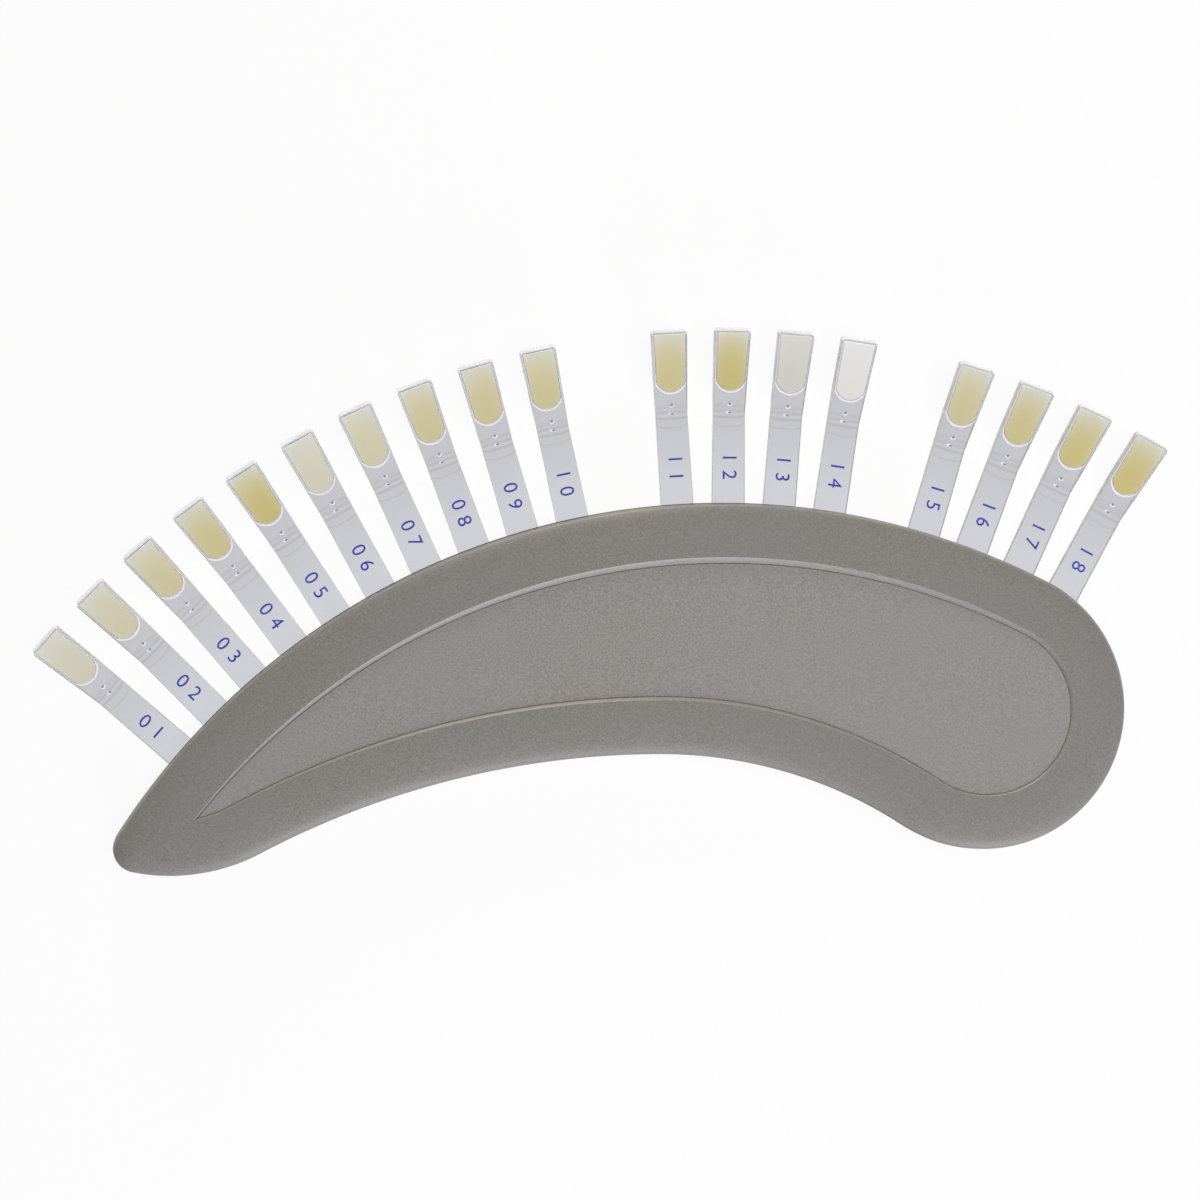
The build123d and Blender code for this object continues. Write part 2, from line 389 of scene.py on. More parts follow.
class LeafOutline:
    """The handle's outline, as arcs that meet tangent to one another, and the smaller ones inside it."""

    nose_radius = 25.5 * MM
    nose_angle = 27.0
    palm_radius = 82.0 * MM
    palm_start = 213.0
    palm_end = 180.0
    tail_radius = 33.4 * MM
    tail_tip_angle = 191.7
    tip_radius = 4.3 * MM
    tip_angle = -57.28
    settling_rounds = 4

    def __init__(self, fan: Fan) -> None:
        """Works out the arcs: from the nose to the palm, from the tip to the tail, and the bend between.

        Args:
            fan: the fan of sticks, whose rim is the outline's upper arc.
        """
        self.fan = fan
        rim = fan.rim_radius
        nose = fan.centre + direction(self.nose_angle) * (rim - self.nose_radius)
        palm = nose + direction(self.palm_start) * (self.nose_radius + self.palm_radius)
        self.tip = fan.centre + direction(self.tip_angle) * (rim - self.tip_radius)
        self.tail = self.tip - direction(self.tail_tip_angle) * (self.tail_radius - self.tip_radius)
        # The bend touches the palm's arc at its end and the tail's arc, which gives its radius
        reach = self.tail - palm + direction(self.palm_end) * self.palm_radius
        along = reach.dot(direction(self.palm_end))
        bend_radius = (reach.length_squared - self.tail_radius**2) / (2 * (along + self.tail_radius))
        bend = palm + direction(self.palm_end) * (bend_radius - self.palm_radius)
        bend_end = angle_of(bend - self.tail) % 360
        self.arcs = [
            Arc(fan.centre, rim, -1, self.tip_angle, self.nose_angle, 150),
            Arc(nose, self.nose_radius, -1, self.nose_angle, self.palm_start, 60),
            Arc(palm, self.palm_radius, 1, self.palm_start - 180, self.palm_end - 180, 30),
            Arc(bend, bend_radius, 1, self.palm_end - 180, bend_end - 180, 40),
            Arc(self.tail, self.tail_radius, -1, bend_end, self.tail_tip_angle, 36),
            Arc(self.tip, self.tip_radius, -1, self.tail_tip_angle, self.tip_angle + 360, 24),
        ]

    def corner(self, inset: float) -> Vector:
        """The pointed tip of the outline at an inset: where the rim and the tail arc cross."""
        centre_a = self.fan.centre
        radius_a = self.fan.rim_radius - inset
        radius_b = self.tail_radius - inset
        across = self.tail - centre_a
        along = (radius_a**2 - radius_b**2 + across.length_squared) / (2 * across.length)
        aside = sqrt(radius_a**2 - along**2)
        unit = across.normalized()
        left = Vector((-unit.y, unit.x, 0))
        points = [centre_a + unit * along + left * aside, centre_a + unit * along - left * aside]
        return min(points, key=lambda point: point.x)

    def point(self, arc: Arc, share: float, inset: float) -> Vector:
        """Point of an arc at a share of its length, on the outline at an inset.

        Args:
            arc: the arc of the full outline.
            share: share of the arc's angle, from 0 to 1.
            inset: how far the outline lies inside the rim.

        Returns:
            The point at Z = 0.
        """
        angle = arc.start + (arc.end - arc.start) * share
        if inset >= self.tip_radius:
            corner = self.corner(inset)
            if arc.centre == self.tip:
                return corner
            if arc.centre == self.fan.centre:
                angle = max(angle, angle_of(corner - arc.centre))
            if arc.centre == self.tail:
                angle = min(angle, angle_of(corner - arc.centre) % 360)
        return arc.centre + direction(angle) * (arc.radius + arc.shrink * inset)

    def ring(self, profile: RingProfile) -> list[Vector]:
        """One ring of points round the outline.

        Args:
            profile: the inset and height of the ring, or a function that gives them for a point near it.

        Returns:
            The ring's points.
        """
        profile_at = profile if callable(profile) else lambda near: profile
        points = []
        for arc in self.arcs:
            for step in range(arc.steps):
                share = step / arc.steps
                near = Vector()
                # The inset follows from the place and the place from the inset, so both settle in rounds
                for _ in range(self.settling_rounds):
                    near = self.point(arc, share, profile_at(near)[0])
                inset, height = profile_at(near)
                point = self.point(arc, share, inset)
                point.z = height
                points.append(point)
        return points


# Node helpers and shared effects


class Nodes:
    """A node tree and short calls that fill it."""

    def __init__(self, tree: bpy.types.NodeTree) -> None:
        """Starts on a tree."""
        self.tree = tree

    def add(self, kind: str, **settings: object) -> bpy.types.Node:
        """Adds a node and sets its properties.

        Args:
            kind: Blender's name of the node type.
            settings: properties of the node.

        Returns:
            The node.
        """
        node = self.tree.nodes.new(kind)
        for name, value in settings.items():
            setattr(node, name, value)
        return node

    def link(self, source: bpy.types.NodeSocket, target: bpy.types.NodeSocket) -> None:
        """Links an output to an input."""
        self.tree.links.new(source, target)

    def feed(self, value: object, target: bpy.types.NodeSocket) -> None:
        """Links a socket to an input, or sets the input to a plain value."""
        if isinstance(value, bpy.types.NodeSocket):
            self.link(value, target)
        else:
            target.default_value = value

    def math(self, operation: str, *values: object) -> bpy.types.NodeSocket:
        """A math node.

        Args:
            operation: Blender's name of the operation.
            values: its inputs in order, each a socket or a number.

        Returns:
            The result's socket.
        """
        node = self.add("ShaderNodeMath", operation=operation)
        for value, target in zip(values, node.inputs):
            self.feed(value, target)
        return node.outputs[0]

    def mix(
        self, share: object, first: object, second: object, kind: Mix = Mix.COLOUR
    ) -> bpy.types.NodeSocket:
        """A mix of two sockets, colours or numbers.

        Args:
            share: a socket or number, 0 for the first and 1 for the second.
            first: a socket, colour or number.
            second: a socket, colour or number.
            kind: whether colours or numbers are mixed.

        Returns:
            The result's socket.
        """
        data_type, first_place, second_place, result_place = kind.value
        node = self.add("ShaderNodeMix", data_type=data_type)
        self.feed(share, node.inputs[0])
        self.feed(first, node.inputs[first_place])
        self.feed(second, node.inputs[second_place])
        return node.outputs[result_place]

    def blend(self, share: bpy.types.NodeSocket, *shaders: bpy.types.Node) -> bpy.types.NodeSocket:
        """A mix of two shaders, all the second one where the share is 1."""
        node = self.add("ShaderNodeMixShader")
        self.link(share, node.inputs[0])
        for place, shader in enumerate(shaders, start=1):
            self.link(shader.outputs[0], node.inputs[place])
        return node.outputs[0]

    def ramp(self, value: bpy.types.NodeSocket, low: float, high: float) -> bpy.types.NodeSocket:
        """A smooth step from 0 to 1 as a value goes from low to high."""
        node = self.add("ShaderNodeMapRange", interpolation_type="SMOOTHSTEP")
        self.link(value, node.inputs["Value"])
        node.inputs["From Min"].default_value = low
        node.inputs["From Max"].default_value = high
        return node.outputs["Result"]

    def tab_place(self) -> tuple[bpy.types.NodeSocket, bpy.types.NodeSocket]:
        """Where a point is on its tab: from 0 in the middle to 1 at either side, and along the tab."""
        place = self.add("ShaderNodeUVMap", uv_map=TAB_MAP)
        split = self.add("ShaderNodeSeparateXYZ")
        self.link(place.outputs["UV"], split.inputs["Vector"])
        from_middle = self.math("SUBTRACT", self.math("MULTIPLY", split.outputs["X"], 2.0), 1.0)
        return self.math("ABSOLUTE", from_middle), split.outputs["Y"]


class GrainGroup:
    """Shared effect: fine grain at a size, with a slow drift laid over it."""

    name = "moulded_grain"
    detail = 2.0

    @classmethod
    def tree(cls) -> bpy.types.NodeTree:
        """The group's tree, built once."""
        made = bpy.data.node_groups.get(cls.name)
        if made:
            return made
        tree = bpy.data.node_groups.new(cls.name, "ShaderNodeTree")
        for name, default in (("Grain Size", 0.4 * MM), ("Drift Size", 20 * MM), ("Drift Share", 0.3)):
            socket = tree.interface.new_socket(name, in_out="INPUT", socket_type="NodeSocketFloat")
            socket.default_value = default
        for name in ("Grain", "Drift", "Mask"):
            tree.interface.new_socket(name, in_out="OUTPUT", socket_type="NodeSocketFloat")
        nodes = Nodes(tree)
        entry = nodes.add("NodeGroupInput")
        leave = nodes.add("NodeGroupOutput")
        place = nodes.add("ShaderNodeTexCoord")
        noises = []
        for size in ("Grain Size", "Drift Size"):
            noise = nodes.add("ShaderNodeTexNoise", noise_dimensions="3D")
            nodes.link(place.outputs["Object"], noise.inputs["Vector"])
            nodes.link(nodes.math("DIVIDE", 1.0, entry.outputs[size]), noise.inputs["Scale"])
            noise.inputs["Detail"].default_value = cls.detail
            noises.append(noise.outputs["Fac"])
        grain, drift = noises
        mask = nodes.mix(entry.outputs["Drift Share"], grain, drift, Mix.NUMBER)
        nodes.link(grain, leave.inputs["Grain"])
        nodes.link(drift, leave.inputs["Drift"])
        nodes.link(mask, leave.inputs["Mask"])
        return tree


@dataclass(frozen=True)
class Finish:
    """What every finish has: a name, the grain of its surface and how rough it is."""

    name: str
    grain_size: float
    drift_size: float
    drift_share: float
    bump_depth: float
    roughness: float
    roughness_spread: float

    def start(self) -> tuple[bpy.types.Material, Nodes, bpy.types.Node, bpy.types.Node]:
        """A new material with its shader, and its grain group wired to the bump.

        Returns:
            The material, its nodes, the shader and the grain group.
        """
        material = bpy.data.materials.new(self.name)
        material.use_nodes = True
        nodes = Nodes(material.node_tree)
        shader = material.node_tree.nodes["Principled BSDF"]
        grain = nodes.add("ShaderNodeGroup", node_tree=GrainGroup.tree())
        grain.inputs["Grain Size"].default_value = self.grain_size
        grain.inputs["Drift Size"].default_value = self.drift_size
        grain.inputs["Drift Share"].default_value = self.drift_share
        bump = nodes.add("ShaderNodeBump")
        bump.inputs["Distance"].default_value = self.bump_depth
        bump.inputs["Strength"].default_value = 1.0
        nodes.link(grain.outputs["Mask"], bump.inputs["Height"])
        nodes.link(bump.outputs["Normal"], shader.inputs["Normal"])
        return material, nodes, shader, grain

    def roughen(self, nodes: Nodes, shader: bpy.types.Node, mask: bpy.types.NodeSocket) -> None:
        """Makes the surface rougher as a mask goes from 0 to 1, or evenly rough where it has no spread."""
        rough = self.roughness
        if self.roughness_spread:
            rough = nodes.math("MULTIPLY_ADD", mask, self.roughness_spread, self.roughness)
        nodes.feed(rough, shader.inputs["Roughness"])


@dataclass(frozen=True)
class GreyMoulding(Finish):
    """Warm grey plastic with the fine matte texture of a spark-eroded mould."""

    name: str = "warm_grey_moulding"
    grain_size: float = 0.32 * MM
    drift_size: float = 22 * MM
    drift_share: float = 0.1
    bump_depth: float = 0.03 * MM
    roughness: float = 0.46
    roughness_spread: float = 0.12
    dark: tuple[float, ...] = srgb(118, 116, 110)
    light: tuple[float, ...] = srgb(140, 138, 132)
    cool: tuple[float, ...] = srgb(130, 127, 131)
    speckle_range: tuple[float, float] = (0.3, 0.7)
    cool_range: tuple[float, float] = (0.35, 0.75)
    cool_share: float = 0.35
    specular: float = 0.45

    def make(self) -> bpy.types.Material:
        """The finished material."""
        material, nodes, shader, grain = self.start()
        speckle = nodes.ramp(grain.outputs["Grain"], *self.speckle_range)
        warm = nodes.mix(speckle, self.dark, self.light)
        drift = nodes.ramp(grain.outputs["Drift"], *self.cool_range)
        cooled = nodes.mix(nodes.math("MULTIPLY", drift, self.cool_share), warm, self.cool)
        nodes.link(cooled, shader.inputs["Base Color"])
        self.roughen(nodes, shader, speckle)
        shader.inputs["Specular IOR Level"].default_value = self.specular
        return material


@dataclass(frozen=True)
class BendLine:
    """A faint line painted across a stick at its bend, as painted shade, or as a painted highlight where
    pale, in shares of the length that shows.
    """

    place: float
    half_width: float
    strength: float
    bow: float = 0.0
    pale: bool = False


# Painted shade and highlight: lines across the bend where it bends the light
BEND_LINES = [
    BendLine(0.445, 0.008, 0.22, bow=0.024),
    BendLine(0.499, 0.013, 0.30, bow=0.008),
    BendLine(0.521, 0.007, 0.50, pale=True),
    BendLine(0.535, 0.011, 0.36),
    BendLine(0.568, 0.013, 0.24, bow=-0.006),
]


@dataclass(frozen=True)
class ClearMoulding(Finish):
    """Clear gloss plastic with faint flow marks."""

    name: str = "clear_moulding_gloss"
    grain_size: float = 1.1 * MM
    drift_size: float = 7 * MM
    drift_share: float = 0.7
    bump_depth: float = 0.004 * MM
    roughness: float = 0.0
    roughness_spread: float = 0.02
    tint: tuple[float, ...] = srgb(197, 197, 202)
    pale_tint: tuple[float, ...] = srgb(214, 215, 222)
    painted_bend_shade: tuple[float, ...] = srgb(150, 150, 154)
    streak_range: tuple[float, float] = (0.35, 0.65)
    streak_share: float = 0.08
    rim_range: tuple[float, float] = (0.45, 0.95)
    rim_share: float = 0.7
    bow_power: float = 4.0

    def make(self) -> bpy.types.Material:
        """The finished material, paler towards the handle's rim, with lines of painted shade and one of
        painted highlight across the bend.
        """
        material, nodes, shader, grain = self.start()
        streak = nodes.ramp(grain.outputs["Mask"], *self.streak_range)
        from_middle, along = nodes.tab_place()
        near_rim = nodes.ramp(nodes.math("SUBTRACT", 1.0, along), *self.rim_range)
        streaks = nodes.math("MULTIPLY", streak, self.streak_share)
        share = nodes.math("MULTIPLY_ADD", near_rim, self.rim_share, streaks)
        colour = nodes.mix(share, self.tint, self.pale_tint)
        to_side = nodes.math("POWER", from_middle, self.bow_power)
        # Painted lines of shade, and one pale line of painted highlight, across the bend
        for line in BEND_LINES:
            bow = nodes.math("MULTIPLY", to_side, line.bow)
            past_line = nodes.math("SUBTRACT", nodes.math("SUBTRACT", along, bow), line.place)
            fade = nodes.ramp(nodes.math("ABSOLUTE", past_line), 0.0, line.half_width)
            cover = nodes.math("MULTIPLY", nodes.math("SUBTRACT", 1.0, fade), line.strength)
            colour = nodes.mix(cover, colour, self.pale_tint if line.pale else self.painted_bend_shade)
        nodes.link(colour, shader.inputs["Base Color"])
        self.roughen(nodes, shader, streak)
        shader.inputs["Transmission Weight"].default_value = 1.0
        shader.inputs["IOR"].default_value = CLEAR_INDEX
        return material


@dataclass(frozen=True)
class PaintedLightClear(Finish):
    """Clear plastic painted near-white, partly opaque and faintly glowing, as a painted highlight on the
    ends and edges where it gathers light. A greyer copy without the glow is painted shade on the sides.
    """

    name: str = "clear_moulding_painted_highlight"
    grain_size: float = 0.5 * MM
    drift_size: float = 3 * MM
    drift_share: float = 0.5
    bump_depth: float = 0.006 * MM
    roughness: float = 0.0
    roughness_spread: float = 0.3
    white: tuple[float, ...] = srgb(243, 243, 248)
    lilac: tuple[float, ...] = srgb(226, 226, 238)
    cloud_range: tuple[float, float] = (0.35, 0.65)
    clearness: float = 0.45
    # Faint painted glow, though the plastic is no lamp
    glow: float = 0.12

    def make(self) -> bpy.types.Material:
        """The finished material."""
        material, nodes, shader, grain = self.start()
        # Painted highlight: near-white, lilac in the clouds, letting through less than half the light and
        # glowing faintly
        cloud = nodes.ramp(grain.outputs["Mask"], *self.cloud_range)
        nodes.link(nodes.mix(cloud, self.white, self.lilac), shader.inputs["Base Color"])
        self.roughen(nodes, shader, cloud)
        shader.inputs["Transmission Weight"].default_value = self.clearness
        shader.inputs["IOR"].default_value = CLEAR_INDEX
        shader.inputs["Emission Color"].default_value = self.lilac
        shader.inputs["Emission Strength"].default_value = self.glow
        return material


@dataclass(frozen=True)
class Shade:
    """Colour of one composite: how bright it is and how yellow, and the paler look of its thin tip."""

    brightness: float
    yellowness: float
    pale: tuple[float, ...] = srgb(219, 220, 213)
    orange_share: float = 0.17

    def body(self) -> tuple[float, ...]:
        """Colour where the sample is thickest."""
        green = self.brightness - self.orange_share * self.yellowness
        return srgb(self.brightness, green, self.brightness - self.yellowness)


@dataclass(frozen=True)
class Composite(Finish):
    """Polished tooth-coloured composite, paler at its thin tip and along its sides."""

    name: str = "composite"
    grain_size: float = 0.35 * MM
    drift_size: float = 3.5 * MM
    drift_share: float = 0.4
    bump_depth: float = 0.004 * MM
    roughness: float = 0.3
    roughness_spread: float = 0.12
    shade: Shade = Shade(205, 50)
    tip_share: float = 0.72
    tip_power: float = 3.6
    side_share: float = 0.26
    side_power: float = 3.0
    cloud_share: float = 0.25
    specular: float = 0.4

    def make(self) -> bpy.types.Material:
        """The finished material."""
        material, nodes, shader, grain = self.start()
        from_middle, along = nodes.tab_place()
        tip = nodes.math("MULTIPLY", nodes.math("POWER", along, self.tip_power), self.tip_share)
        side = nodes.math("MULTIPLY", nodes.math("POWER", from_middle, self.side_power), self.side_share)
        cloud = nodes.math("SUBTRACT", grain.outputs["Mask"], 0.5)
        share = nodes.math("MULTIPLY_ADD", cloud, self.cloud_share, nodes.math("ADD", tip, side))
        share.node.use_clamp = True
        nodes.link(nodes.mix(share, self.shade.body(), self.shade.pale), shader.inputs["Base Color"])
        self.roughen(nodes, shader, grain.outputs["Grain"])
        shader.inputs["Specular IOR Level"].default_value = self.specular
        return material


@dataclass(frozen=True)
class BlueInk(Finish):
    """Pad-printed blue ink, thinner in places."""

    name: str = "blue_pad_print"
    grain_size: float = 0.25 * MM
    drift_size: float = 1.4 * MM
    drift_share: float = 0.5
    bump_depth: float = 0.005 * MM
    roughness: float = 0.5
    roughness_spread: float = 0.0
    full: tuple[float, ...] = srgb(36, 50, 160)
    thin: tuple[float, ...] = srgb(66, 88, 186)
    cover_range: tuple[float, float] = (0.36, 0.66)

    def make(self) -> bpy.types.Material:
        """The finished material."""
        material, nodes, shader, grain = self.start()
        cover = nodes.ramp(grain.outputs["Mask"], *self.cover_range)
        nodes.link(nodes.mix(cover, self.full, self.thin), shader.inputs["Base Color"])
        self.roughen(nodes, shader, cover)
        return material


def map_tab(piece: bpy.types.Object, half_width: float, start: float, end: float) -> None:
    """Gives a piece, still in its stick's own frame, a map of where it is across and along the stick.

    Args:
        piece: the object.
        half_width: half the width that runs from 0 to 1 across.
        start: Y that is 0 along.
        end: Y that is 1 along.
    """
    layer = piece.data.uv_layers.new(name=TAB_MAP)
    for loop in piece.data.loops:
        point = piece.data.vertices[loop.vertex_index].co
        across = 0.5 + point.x / (2 * half_width)
        layer.data[loop.index].uv = (across, (point.y - start) / (end - start))


# The handle


@dataclass(frozen=True)
class Ring:
    """One ring of a shell's skin, and the material of the band that ends at it."""

    profile: RingProfile
    surface: ShellSurface = ShellSurface.BORDER


@dataclass
class Handle:
    """The two moulded shells of the handle."""

    fan: Fan
    outline: LeafOutline
    edge_height: float = 7.2 * MM
    crest_height: float = 10.0 * MM
    wall: float = 1.8 * MM
    parting_ledge: float = 0.25 * MM
    parting_round: float = 0.12 * MM
    back_round: float = 1.4 * MM
    crown_width: float = 9.4 * MM
    crown_power: float = 2.2
    crown_rings: int = 18
    crown_spread: float = 2.6
    painted_highlight_rim: float = 0.7 * MM
    panel_inset: float = 9.7 * MM
    panel_depth: float = 0.75 * MM
    panel_tilt: float = 1.0
    panel_round: float = 0.3 * MM
    panel_turn: float = 45.0
    groove_depth: float = 0.12 * MM
    groove_floor_start: float = 0.06 * MM
    groove_floor_end: float = 0.12 * MM
    groove_width: float = 0.2 * MM
    round_steps: int = 4
    slot_clearance: float = 0.06 * MM
    tail_clearance: float = 0.05 * MM
    slot_overrun: float = 2 * MM
    guide_depth: float = 9.5 * MM
    rib_thickness: float = 1.5 * MM
    rib_end_angle: float = 2.6
    rib_steps: int = 60
    root_share: float = 0.8
    pin_insets: tuple[float, ...] = (23.1 * MM, 30.1 * MM, 25.6 * MM)
    pin_angles: tuple[float, ...] = (-34.0, -4.0, 27.0)
    pin_radius: float = 1.5 * MM
    pin_sides: int = 40
    boss_radius: float = 2.8 * MM
    pin_length: float = 2.4 * MM
    pin_clearance: float = 0.05 * MM
    palm_side_lean: float = 0.1
    sharp_angle: float = 33.0

    @property
    def slot_depth(self) -> float:
        """How far the slots reach in from the rim."""
        return self.fan.tail_length + self.tail_clearance

    def crown_height(self, inset: float) -> float:
        """Height of the crowned border at an inset from the rim."""
        share = 1 - inset / self.crown_width
        rise = (1 - share**self.crown_power) ** (1 / self.crown_power)
        return self.edge_height + (self.crest_height - self.edge_height) * rise

    def panel_foot(self, beyond: float, sink: float) -> RingProfile:
        """Profile of the foot of the panel's wall, which follows the leaning floor.

        Args:
            beyond: how much further in than the foot.
            sink: how far under the floor.

        Returns:
            A function of a point near the ring that gives its inset and height.
        """

        def profile(near: Vector) -> tuple[float, float]:
            """Inset and height near a point."""
            depth = self.panel_depth + tan(radians(self.panel_tilt)) * near.y
            return self.panel_inset + depth + beyond, self.crest_height - depth - sink

        return profile

    def front_rings(self) -> list[Ring]:
        """The front shell's rings, from its ceiling round to the panel's floor."""
        ceiling = self.crest_height - self.panel_depth - self.wall
        parting = self.fan.parting_height
        rings = [Ring((self.wall, ceiling)), Ring((self.wall, parting)), Ring((0.0, parting))]
        for step in range(self.crown_rings + 1):
            inset = self.crown_width * (step / self.crown_rings) ** self.crown_spread
            # The rim's outer band is painted lighter as a highlight
            surface = ShellSurface.EDGE if inset < self.painted_highlight_rim else ShellSurface.BORDER
            rings.append(Ring((inset, self.crown_height(inset)), surface))
        turn = radians(self.panel_turn)
        start = self.panel_inset - self.panel_round * tan(turn / 2)
        for step in range(self.round_steps + 1):
            angle = turn * step / self.round_steps
            inset = start + self.panel_round * sin(angle)
            height = self.crest_height - self.panel_round * (1 - cos(angle))
            # The panel's walls are painted lighter as a highlight
            surface = ShellSurface.EDGE if step > self.round_steps / 2 else ShellSurface.BORDER
            rings.append(Ring((inset, height), surface))
        rings.append(Ring(self.panel_foot(0.0, 0.0), ShellSurface.EDGE))
        rings.append(Ring(self.panel_foot(self.groove_floor_start, self.groove_depth)))
        rings.append(Ring(self.panel_foot(self.groove_floor_end, self.groove_depth)))
        rings.append(Ring(self.panel_foot(self.groove_width, 0.0)))
        return rings

    def back_rings(self) -> list[Ring]:
        """The back shell's rings, from its flat back round to its inner floor."""
        outer = -self.parting_ledge
        rings = []
        for step in range(2 * self.round_steps + 1):
            angle = radians(90) * step / (2 * self.round_steps)
            inset = outer + self.back_round * (1 - sin(angle))
            rings.append(Ring((inset, self.back_round * (1 - cos(angle)))))
        for step in range(self.round_steps + 1):
            angle = radians(90) * step / self.round_steps
            inset = outer + self.parting_round * (1 - cos(angle))
            height = self.fan.parting_height - self.parting_round * (1 - sin(angle))
            rings.append(Ring((inset, height)))
        rings.append(Ring((self.wall, self.fan.parting_height)))
        rings.append(Ring((self.wall, self.wall)))
        return rings

    def shell(self, name: str, rings: list[Ring]) -> bpy.types.Object:
        """A shell without its slots, as a skin through its rings."""
        points = [self.outline.ring(ring.profile) for ring in rings]
        return loft_rings(name, points, [ring.surface for ring in rings])

    def slots(self, angles: list[float]) -> bpy.types.Object:
        """The space of all slots, as one cutter.

        Args:
            angles: angles of the sticks.

        Returns:
            The cutter.
        """
        width = self.fan.stem_width + 2 * self.slot_clearance
        height = self.fan.stem_thickness + 2 * self.slot_clearance
        size = (width, self.slot_depth + self.slot_overrun, height)
        centre = Vector((0, (self.slot_overrun - self.slot_depth) / 2, self.fan.parting_height))
        boxes = []
        for angle in angles:
            box = add_new(bpy.ops.mesh.primitive_cube_add, "slot", size=1, location=(0, 0, 0), scale=size)
            bpy.ops.object.transform_apply(location=False, rotation=False, scale=True)
            box.data.transform(self.fan.place(angle) @ Matrix.Translation(centre))
            boxes.append(box)
        return join(boxes)

    def pillars(self, radius: float, low: float, high: float) -> bpy.types.Object:
        """One upright cylinder at each pin's place, as one object."""
        pillars = []
        for inset, angle in zip(self.pin_insets, self.pin_angles):
            point = self.fan.centre + direction(angle) * (self.fan.rim_radius - inset)
            pillar = add_new(
                bpy.ops.mesh.primitive_cylinder_add,
                "pillar",
                vertices=self.pin_sides,
                radius=radius,
                depth=high - low,
                location=(point.x, point.y, (low + high) / 2),
            )
            bpy.ops.object.transform_apply(location=True, rotation=False, scale=False)
            pillars.append(pillar)
        return join(pillars)

    def rib(
        self, outer_radius: float, start: float, end: float, low: float, high: float
    ) -> bpy.types.Object:
        """A rib that follows the rim behind the sticks.

        Args:
            outer_radius: radius of its outer face about the fan's centre.
            start: angle of its first end.
            end: angle of its last end.
            low: height of its foot.
            high: height of its top.

        Returns:
            The rib.
        """
        outline = []
        for step in range(self.rib_steps + 1):
            angle = start + (end - start) * step / self.rib_steps
            outline.append((angle, outer_radius))
        for angle, radius in list(reversed(outline)):
            outline.append((angle, radius - self.rib_thickness))
        rings = []
        for height in (low, high):
            points = [self.fan.centre + direction(angle) * radius for angle, radius in outline]
            rings.append([Vector((point.x, point.y, height)) for point in points])
        return loft_rings("rib", rings)

    def build_front(self, angles: list[float], finishes: list[GreyMoulding]) -> bpy.types.Object:
        """The crowned front shell with its panel, its half of the slots and its pins.

        Args:
            angles: angles of the sticks.
            finishes: finishes of the border, of the panel and of the smoother edges.

        Returns:
            The shell.
        """
        shell = self.shell("front_shell_moulding", self.front_rings())
        dress(shell, *[finish.make() for finish in finishes])
        floor = max(shell.data.polygons, key=lambda face: face.area * face.normal.z)
        floor.material_index = ShellSurface.PANEL.value

        def palm_rim(face: bpy.types.MeshPolygon) -> bool:
            """Whether a face is on the rim away from the sticks, which keeps the border's finish and gets
            no painted highlight.
            """
            foot = self.crown_height(self.painted_highlight_rim)
            return face.center.z < foot and face.normal.y < self.palm_side_lean

        surface_where(shell, ShellSurface.BORDER, palm_rim)
        combine(shell, self.slots(angles), Cut.DIFFERENCE)
        foot = self.fan.parting_height - self.pin_length
        into_ceiling = self.crest_height - self.panel_depth - self.root_share * self.wall
        combine(shell, self.pillars(self.pin_radius, foot, into_ceiling), Cut.UNION)
        smooth(shell, self.sharp_angle)
        return shell

    def build_back(self, angles: list[float], finish: GreyMoulding) -> bpy.types.Object:
        """The flat back shell with its ribs, its half of the slots and its sockets for the pins.

        Args:
            angles: angles of the sticks.
            finish: its finish.

        Returns:
            The shell.
        """
        shell = self.shell("back_shell_moulding", self.back_rings())
        dress(shell, finish.make())
        into_floor = self.root_share * self.wall
        first = angles[0] - self.rib_end_angle
        last = angles[-1] + self.rib_end_angle
        for depth in (self.guide_depth, self.slot_depth):
            rib = self.rib(self.fan.rim_radius - depth, first, last, into_floor, self.fan.stem_top)
            combine(shell, rib, Cut.UNION)
        combine(shell, self.pillars(self.boss_radius, into_floor, self.fan.parting_height), Cut.UNION)
        hole_floor = self.fan.parting_height - self.pin_length - self.pin_clearance
        hole_top = self.fan.parting_height + self.wall
        holes = self.pillars(self.pin_radius + self.pin_clearance, hole_floor, hole_top)
        combine(shell, holes, Cut.DIFFERENCE)
        combine(shell, self.slots(angles), Cut.DIFFERENCE)
        smooth(shell, self.sharp_angle)
        return shell


# The tabs


